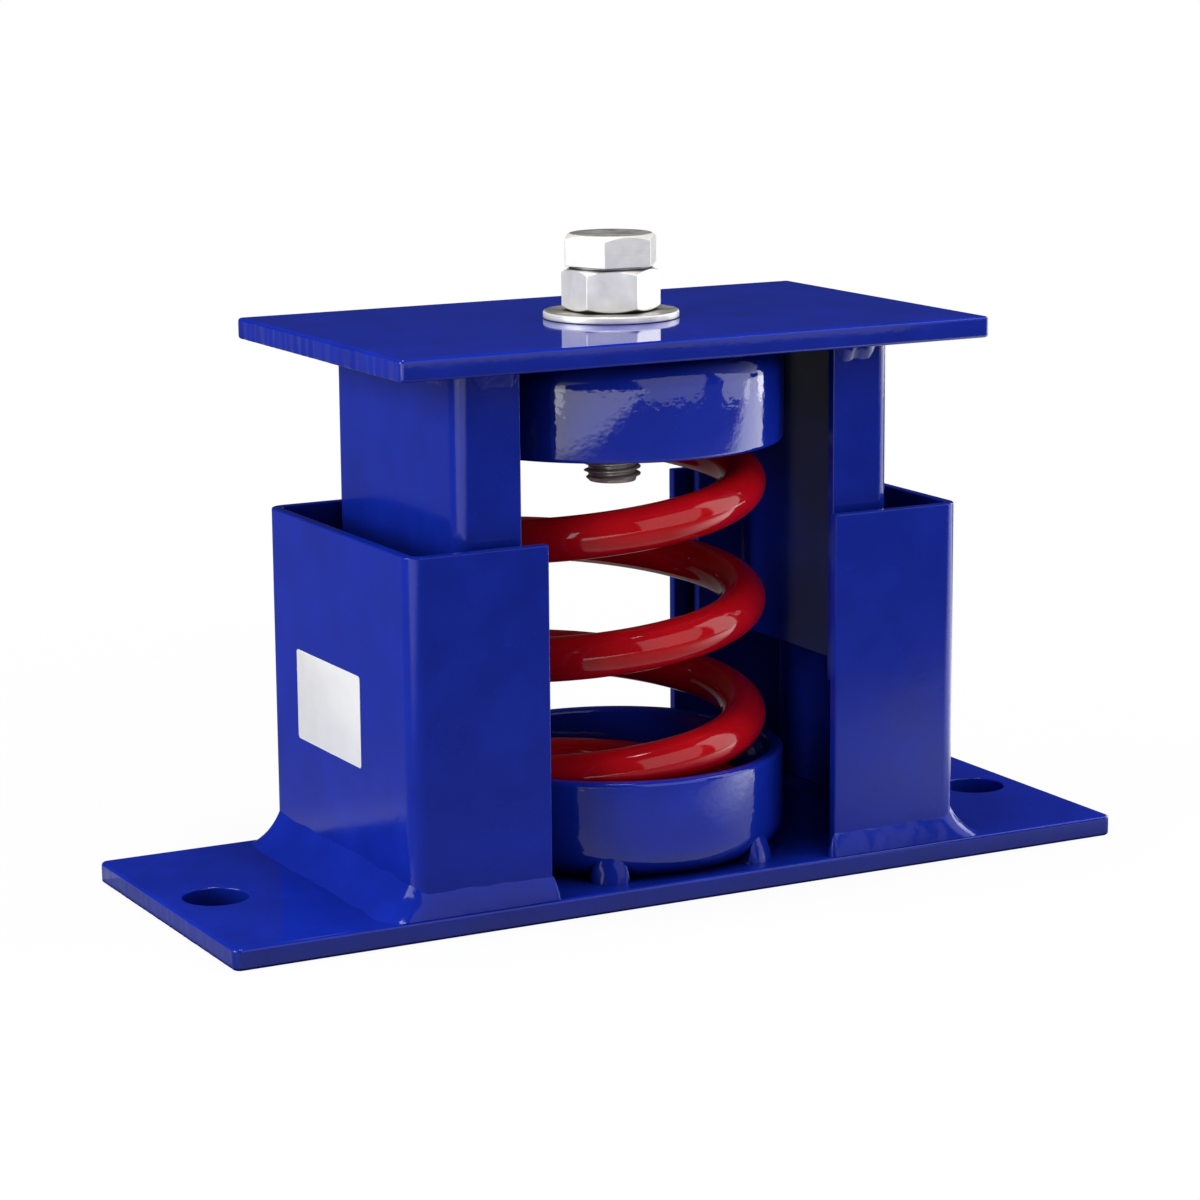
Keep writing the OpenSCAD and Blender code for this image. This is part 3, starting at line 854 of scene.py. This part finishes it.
class ISOLATOR_OT_lock_nut(bpy.types.Operator):
    """Hexagon nut under the bolt's head"""
    bl_idname = "isolator.lock_nut"
    bl_label = "Lock nut"

    def execute(self, context):
        sizes = context.scene.isolator_sizes
        low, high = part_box("lock_nut")
        bm = bmesh.new()
        hexagon(bm, sizes.flats, low.z, high.z, NUT_ANGLE, True)
        add_piece(bm, "lock_nut_plated", "levelling_bolt", "zinc_plate", ["lock_nut"], even=True)
        return {"FINISHED"}


class ISOLATOR_OT_flat_washer(bpy.types.Operator):
    """Stamped washer on the top plate"""
    bl_idname = "isolator.flat_washer"
    bl_label = "Flat washer"

    def execute(self, context):
        low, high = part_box("flat_washer")
        bore = WASHER_BORE_R
        bm = spun_profile(
            [(bore, low.z), (high.x, low.z), (high.x, high.z), (bore, high.z)],
            [0.2 * MM, 0.25 * MM, 0.5 * MM, 0.2 * MM], 96)
        add_piece(bm, "flat_washer_plated", "top", "zinc_plate", ["flat_washer"], even=True)
        return {"FINISHED"}


class ISOLATOR_OT_blank_label(bpy.types.Operator):
    """Blank vinyl label on the left lower channel"""
    bl_idname = "isolator.blank_label"
    bl_label = "Blank label"

    def execute(self, context):
        sizes = context.scene.isolator_sizes
        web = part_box("left_lower_channel")[0].x
        film = 0.15 * MM
        bm = bmesh.new()
        bmesh.ops.create_grid(
            bm, x_segments=1, y_segments=1, size=0.5,
            matrix=Matrix.Diagonal((sizes.label_width, sizes.label_height, 1, 1)))
        round_corners(bm, bm.verts[:], 1.0 * MM, 5)
        raise_faces(bm, film)
        round_edges(bm, sharp_edges(bm), 0.06 * MM, 2)
        turn = Matrix(((0, 0, -1, 0), (-1, 0, 0, 0), (0, 1, 0, 0), (0, 0, 0, 1)))
        bmesh.ops.transform(
            bm, matrix=Matrix.Translation((web, LABEL_Y, LABEL_Z)) @ turn, verts=bm.verts[:])
        add_piece(bm, "blank_label", "base", "label", [])
        return {"FINISHED"}


def softbox(name, azimuth, elevation, distance, width, height, power, aim):
    """Area lamp that faces the object from a direction given in degrees."""
    turn, lift = math.radians(azimuth), math.radians(elevation)
    level = math.cos(lift)
    spot = Vector((math.cos(turn) * level, math.sin(turn) * level, math.sin(lift))) * distance
    lamp = bpy.data.lights.new(name, "AREA")
    lamp.shape = "RECTANGLE"
    lamp.size = width
    lamp.size_y = height
    lamp.energy = power
    holder = bpy.data.objects.new(name, lamp)
    holder.location = spot + aim
    holder.rotation_euler = (-spot).to_track_quat("-Z", "Y").to_euler()
    holder.visible_camera = False
    bpy.context.scene.collection.objects.link(holder)


def floor_material(colours):
    """Matt paper: white to the camera but for the shadow, grey to the lamps, cards of light to gloss."""
    material, tree, output = new_material("studio_floor")
    rays = add_node(tree, "ShaderNodeLightPath").outputs
    place = add_node(tree, "ShaderNodeTexCoord").outputs["Object"]
    # What the camera sees: pale paper near the object that fades to plain white
    paper = add_node(tree, "ShaderNodeTexNoise", {"Vector": place, "Scale": 1 / (60 * MM), "Detail": 3.0})
    tone = add_node(tree, "ShaderNodeMix", {
        0: paper.outputs["Fac"], 6: rgba(colours.floor, 0.98), 7: rgba(colours.floor, 1.0)}, data_type="RGBA")
    pale = add_node(tree, "ShaderNodeBsdfDiffuse", {"Color": tone.outputs[2]})
    white = add_node(tree, "ShaderNodeEmission", {"Color": rgba((1, 1, 1)), "Strength": 1.0})
    seen = add_node(tree, "ShaderNodeMath", {
        0: rays["Is Camera Ray"], 1: rays["Is Transmission Ray"]}, operation="MAXIMUM")
    far = add_node(tree, "ShaderNodeVectorMath", {0: place}, operation="LENGTH")
    fade = add_node(tree, "ShaderNodeMapRange", {
        "Value": far.outputs["Value"], "From Min": 0.12, "From Max": 0.45, "To Min": 0.93, "To Max": 1.0})
    lit = add_node(tree, "ShaderNodeMixShader", {
        0: fade.outputs["Result"], 1: pale.outputs["BSDF"], 2: white.outputs["Emission"]})
    # What gloss sees: a bright card at the right, then the rest of the floor
    spot = add_node(tree, "ShaderNodeSeparateXYZ", {0: place}).outputs
    right = add_node(tree, "ShaderNodeMapRange", {
        "Value": spot["X"], "From Min": 0.05, "From Max": 0.25, "To Min": 0.0, "To Max": 3.4})
    skew = add_node(tree, "ShaderNodeMath", {0: spot["X"], 1: 0.25, 2: spot["Y"]}, operation="MULTIPLY_ADD")
    ahead = add_node(tree, "ShaderNodeMapRange", {
        "Value": skew.outputs["Value"], "From Min": -0.22, "From Max": -0.1})
    behind = add_node(tree, "ShaderNodeMapRange", {
        "Value": spot["Y"], "From Min": 0.0, "From Max": 0.2, "To Min": 1.0, "To Max": 0.0})
    beside = add_node(tree, "ShaderNodeMath", {
        0: ahead.outputs["Result"], 1: behind.outputs["Result"]}, operation="MULTIPLY")
    # A dimmer floor in front of the object and far back
    near = add_node(tree, "ShaderNodeMapRange", {
        "Value": spot["Y"], "From Min": -0.1, "From Max": 0.2, "To Min": 1.0, "To Max": 0.4})
    remote = add_node(tree, "ShaderNodeMapRange", {
        "Value": spot["Y"], "From Min": -0.5, "From Max": -0.12, "To Min": 0.15, "To Max": 0.42})
    front = add_node(tree, "ShaderNodeMath", {
        0: near.outputs["Result"], 1: remote.outputs["Result"]}, operation="MULTIPLY")
    card = add_node(tree, "ShaderNodeMath", {
        0: right.outputs["Result"], 1: beside.outputs["Value"], 2: front.outputs["Value"]},
        operation="MULTIPLY_ADD")
    # Another card far left
    left = add_node(tree, "ShaderNodeMapRange", {
        "Value": spot["X"], "From Min": -0.45, "From Max": -0.3, "To Min": 2.4, "To Max": 0.0})
    level = add_node(tree, "ShaderNodeMapRange", {
        "Value": spot["Y"], "From Min": -0.15, "From Max": -0.05, "To Min": 1.0, "To Max": 0.0})
    both = add_node(tree, "ShaderNodeMath", {
        0: left.outputs["Result"], 1: level.outputs["Result"], 2: card.outputs["Value"]},
        operation="MULTIPLY_ADD")
    # Beside the base plate the floor shows the cards, and under it the floor is dark but for thin glowing
    # strips right at the plate's edges, a painted reflection that gloss sees
    reach = add_node(tree, "ShaderNodeVectorMath", {0: place}, operation="ABSOLUTE")
    under = add_node(tree, "ShaderNodeSeparateXYZ", {0: reach.outputs["Vector"]}).outputs
    past_end = add_node(tree, "ShaderNodeMapRange", {
        "Value": under["X"], "From Min": 150 * MM, "From Max": 210 * MM})
    past_side = add_node(tree, "ShaderNodeMapRange", {
        "Value": under["Y"], "From Min": 55 * MM, "From Max": 100 * MM})
    clear = add_node(tree, "ShaderNodeMath", {
        0: past_end.outputs["Result"], 1: past_side.outputs["Result"]}, operation="MAXIMUM")
    end_strip = add_node(tree, "ShaderNodeMapRange", {
        "Value": under["X"], "From Min": 138 * MM, "From Max": 140 * MM, "To Min": 0.0, "To Max": 0.35})
    side_strip = add_node(tree, "ShaderNodeMapRange", {
        "Value": under["Y"], "From Min": 50 * MM, "From Max": 52 * MM, "To Min": 0.0, "To Max": 0.65})
    strip = add_node(tree, "ShaderNodeMath", {
        0: end_strip.outputs["Result"], 1: side_strip.outputs["Result"]}, operation="MAXIMUM")
    gleam = add_node(tree, "ShaderNodeMix", {
        0: clear.outputs["Value"], 2: strip.outputs["Value"], 3: both.outputs["Value"]}, data_type="FLOAT")
    mirrored = add_node(tree, "ShaderNodeEmission", {"Color": rgba((1, 1, 1)), "Strength": gleam.outputs[0]})
    # What the lamps' light meets
    dull = add_node(tree, "ShaderNodeBsdfDiffuse", {"Color": rgba(linear("#838385"))})
    ground = add_node(tree, "ShaderNodeMixShader", {
        0: rays["Is Glossy Ray"], 1: dull.outputs["BSDF"], 2: mirrored.outputs["Emission"]})
    blend = add_node(tree, "ShaderNodeMixShader", {
        0: seen.outputs["Value"], 1: ground.outputs["Shader"], 2: lit.outputs["Shader"]})
    tree.links.new(blend.outputs["Shader"], output.inputs["Surface"])
    return material


def lay_floor(scene):
    """Round studio floor under the object."""
    bm = bmesh.new()
    bmesh.ops.create_circle(bm, cap_ends=True, segments=96, radius=FLOOR_RADIUS)
    mesh = bpy.data.meshes.new("studio_floor")
    bm.to_mesh(mesh)
    bm.free()
    mesh.materials.append(floor_material(scene.isolator_colours))
    floor = bpy.data.objects.new("studio_floor", mesh)
    scene.collection.objects.link(floor)


def white_surroundings(scene):
    """World that is white to the camera, nearly dark to gloss and a faint fill to matt faces."""
    world = bpy.data.worlds.new("studio")
    world.use_nodes = True
    scene.world = world
    tree = world.node_tree
    tree.nodes.clear()
    rays = add_node(tree, "ShaderNodeLightPath").outputs
    seen = add_node(tree, "ShaderNodeMath", {
        0: rays["Is Camera Ray"], 1: rays["Is Transmission Ray"]}, operation="MAXIMUM")
    mirrored = add_node(tree, "ShaderNodeMath", {0: rays["Is Glossy Ray"], 1: 0.025}, operation="MULTIPLY")
    soft = add_node(tree, "ShaderNodeMath", {0: rays["Is Diffuse Ray"], 1: 0.13}, operation="MULTIPLY")
    low = add_node(tree, "ShaderNodeMath", {
        0: mirrored.outputs["Value"], 1: soft.outputs["Value"]}, operation="ADD")
    level = add_node(tree, "ShaderNodeMath", {
        0: seen.outputs["Value"], 1: low.outputs["Value"]}, operation="ADD")
    sky = add_node(tree, "ShaderNodeBackground", {
        "Color": rgba((1, 1, 1)), "Strength": level.outputs["Value"]})
    end = tree.nodes.new("ShaderNodeOutputWorld")
    tree.links.new(sky.outputs["Background"], end.inputs["Surface"])


def set_camera(scene):
    """Camera at the viewing angle."""
    view = bpy.data.cameras.new("camera")
    view.sensor_width = 36
    view.lens = 107.97
    view.clip_end = 20
    camera = bpy.data.objects.new("camera", view)
    yaw, pitch, roll = (math.radians(a) for a in (27.92, 11.273, 0.484))
    camera.matrix_world = (
        Matrix.Translation((-471.23 * MM, -881.2 * MM, 274.71 * MM))
        @ Matrix.Rotation(-yaw, 4, "Z") @ Matrix.Rotation(math.pi / 2 - pitch, 4, "X")
        @ Matrix.Rotation(-roll, 4, "Z"))
    scene.collection.objects.link(camera)
    scene.camera = camera


class ISOLATOR_OT_stage(bpy.types.Operator):
    """Pale floor, soft lamps, white surroundings and the camera"""
    bl_idname = "isolator.stage"
    bl_label = "Studio"

    def execute(self, context):
        scene = context.scene
        lay_floor(scene)
        white_surroundings(scene)
        for lamp in LAMPS:
            softbox(*lamp, Vector((0, 0, 80 * MM)))
        set_camera(scene)
        scene.view_settings.view_transform = "Standard"
        return {"FINISHED"}


OPERATORS = (
    ISOLATOR_OT_base_plate, ISOLATOR_OT_top_plate, ISOLATOR_OT_channels, ISOLATOR_OT_spring_cups,
    ISOLATOR_OT_coil_spring, ISOLATOR_OT_foot_welds, ISOLATOR_OT_cup_tacks, ISOLATOR_OT_top_beads,
    ISOLATOR_OT_hex_bolt, ISOLATOR_OT_lock_nut, ISOLATOR_OT_flat_washer, ISOLATOR_OT_blank_label,
    ISOLATOR_OT_stage)


class ISOLATOR_PT_panel(bpy.types.Panel):
    """Sidebar panel with the sizes, the colours and one button for each operator"""
    bl_idname = "ISOLATOR_PT_panel"
    bl_label = "Spring vibration isolator"
    bl_space_type = "VIEW_3D"
    bl_region_type = "UI"
    bl_category = "Isolator"

    def draw(self, context):
        for group in (context.scene.isolator_sizes, context.scene.isolator_colours):
            for name in group.__annotations__:
                self.layout.prop(group, name)
        for operator in OPERATORS:
            self.layout.operator(operator.bl_idname)


CLASSES = (IsolatorSizes, IsolatorColours) + OPERATORS + (ISOLATOR_PT_panel,)


def register():
    for cls in CLASSES:
        bpy.utils.register_class(cls)
    bpy.types.Scene.isolator_sizes = bpy.props.PointerProperty(type=IsolatorSizes)
    bpy.types.Scene.isolator_colours = bpy.props.PointerProperty(type=IsolatorColours)


def unregister():
    del bpy.types.Scene.isolator_colours
    del bpy.types.Scene.isolator_sizes
    for cls in reversed(CLASSES):
        bpy.utils.unregister_class(cls)


def main():
    register()
    for operator in OPERATORS:
        group, name = operator.bl_idname.split(".")
        if getattr(getattr(bpy.ops, group), name)() != {"FINISHED"}:
            raise RuntimeError(f"{operator.bl_idname} did not finish")


if __name__ == "__main__":
    main()
